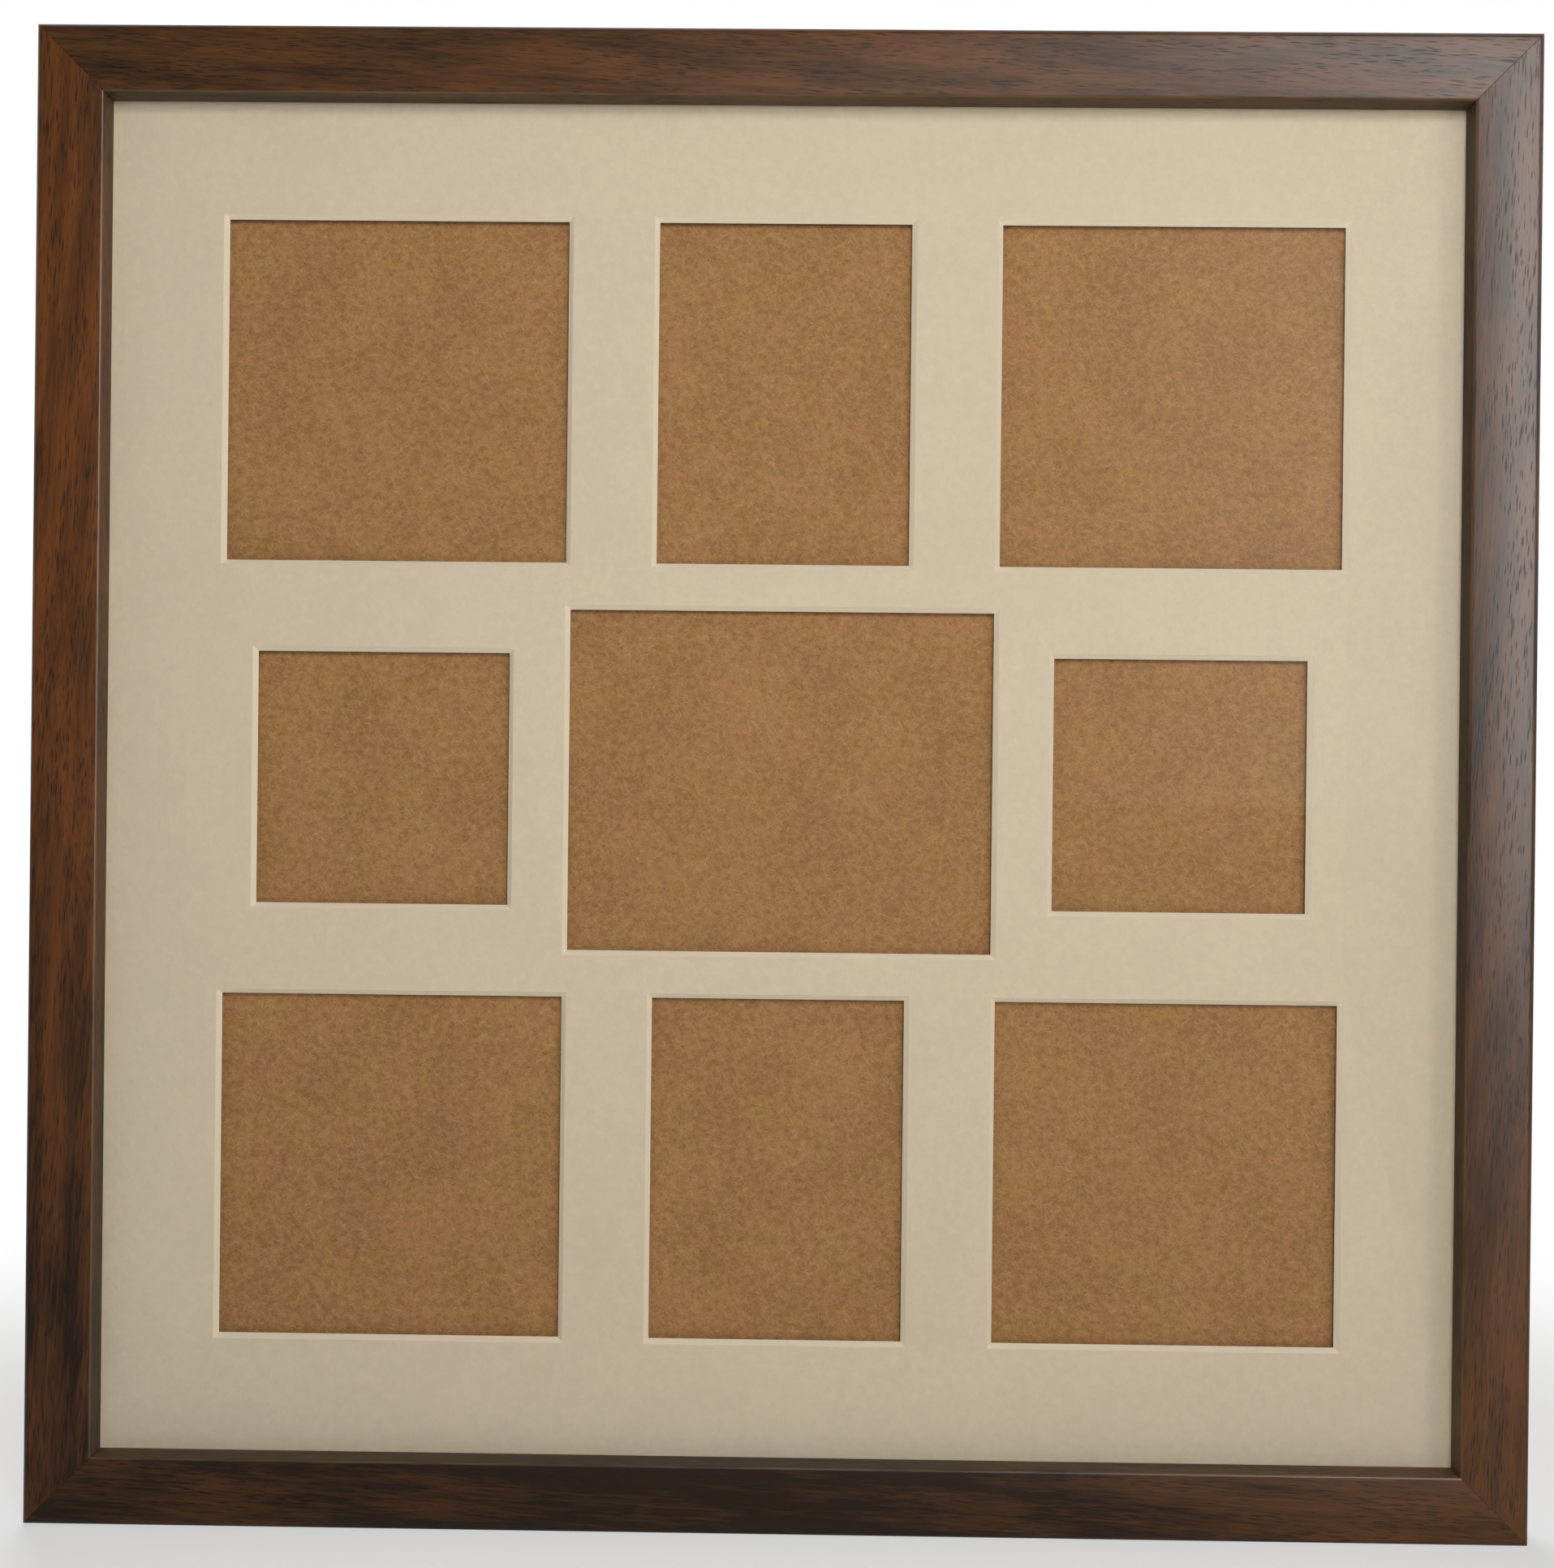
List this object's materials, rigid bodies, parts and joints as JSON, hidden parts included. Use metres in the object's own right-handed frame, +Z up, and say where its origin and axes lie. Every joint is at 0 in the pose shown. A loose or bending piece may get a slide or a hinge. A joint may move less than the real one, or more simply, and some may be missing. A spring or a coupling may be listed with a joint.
{
  "type": "collage photo frame",
  "caption": "Square wall picture frame with mitred dark walnut rails, glass, a cream mount with bevelled windows for a collage of prints, and a fibreboard back held in by turn buttons.",
  "frame": {"origin": "the nail seat: the middle notch of the sawtooth hanger, in the plane of the wall", "axes": "+Z up, +Y into the wall, so the picture faces -Y, and +X to the right as it is looked at"},
  "size_m": [0.4364, 0.0182, 0.4365],
  "materials": {
    "walnut_rail": "satin dark walnut stain",
    "clear_glass": "clear float glass",
    "cream_board": "matt cream mount board with a paler core",
    "brown_fibreboard": "smooth brown fibreboard",
    "plated_steel": "nickel plate",
    "brassed_steel": "brass plate",
    "bumper_rubber": "matt rubber"
  },
  "bodies": {
    "frame": {"top_rail": "walnut_rail", "bottom_rail": "walnut_rail", "left_rail": "walnut_rail", "right_rail": "walnut_rail", "corner_v_nails": "plated_steel", "glass_pane": "clear_glass", "window_mount": "cream_board", "backing_board": "brown_fibreboard", "turn_button_screws": "plated_steel", "sawtooth_hanger": "brassed_steel", "hanger_nails": "brassed_steel", "wall_bumpers": "bumper_rubber"},
    "top_right_button": {"top_right_button": "plated_steel"},
    "top_left_button": {"top_left_button": "plated_steel"},
    "right_lower_button": {"right_lower_button": "plated_steel"},
    "right_upper_button": {"right_upper_button": "plated_steel"},
    "bottom_left_button": {"bottom_left_button": "plated_steel"},
    "bottom_right_button": {"bottom_right_button": "plated_steel"},
    "left_upper_button": {"left_upper_button": "plated_steel"},
    "left_lower_button": {"left_lower_button": "plated_steel"}
  },
  "joints": [
    {"name": "top_right_turn", "type": "hinge", "parent": "frame", "child": "top_right_button", "pos_m": [0.11, -0.0032, 0.00315], "axis": [0, 1, 0], "continuous": true},
    {"name": "top_left_turn", "type": "hinge", "parent": "frame", "child": "top_left_button", "pos_m": [-0.11, -0.0032, 0.00315], "axis": [0, 1, 0], "continuous": true},
    {"name": "right_lower_turn", "type": "hinge", "parent": "frame", "child": "right_lower_button", "pos_m": [0.2112, -0.0032, -0.31805], "axis": [0, 1, 0], "continuous": true},
    {"name": "right_upper_turn", "type": "hinge", "parent": "frame", "child": "right_upper_button", "pos_m": [0.2112, -0.0032, -0.09805], "axis": [0, 1, 0], "continuous": true},
    {"name": "bottom_left_turn", "type": "hinge", "parent": "frame", "child": "bottom_left_button", "pos_m": [-0.11, -0.0032, -0.41925], "axis": [0, 1, 0], "continuous": true},
    {"name": "bottom_right_turn", "type": "hinge", "parent": "frame", "child": "bottom_right_button", "pos_m": [0.11, -0.0032, -0.41925], "axis": [0, 1, 0], "continuous": true},
    {"name": "left_upper_turn", "type": "hinge", "parent": "frame", "child": "left_upper_button", "pos_m": [-0.2112, -0.0032, -0.09805], "axis": [0, 1, 0], "continuous": true},
    {"name": "left_lower_turn", "type": "hinge", "parent": "frame", "child": "left_lower_button", "pos_m": [-0.2112, -0.0032, -0.31805], "axis": [0, 1, 0], "continuous": true}
  ]
}
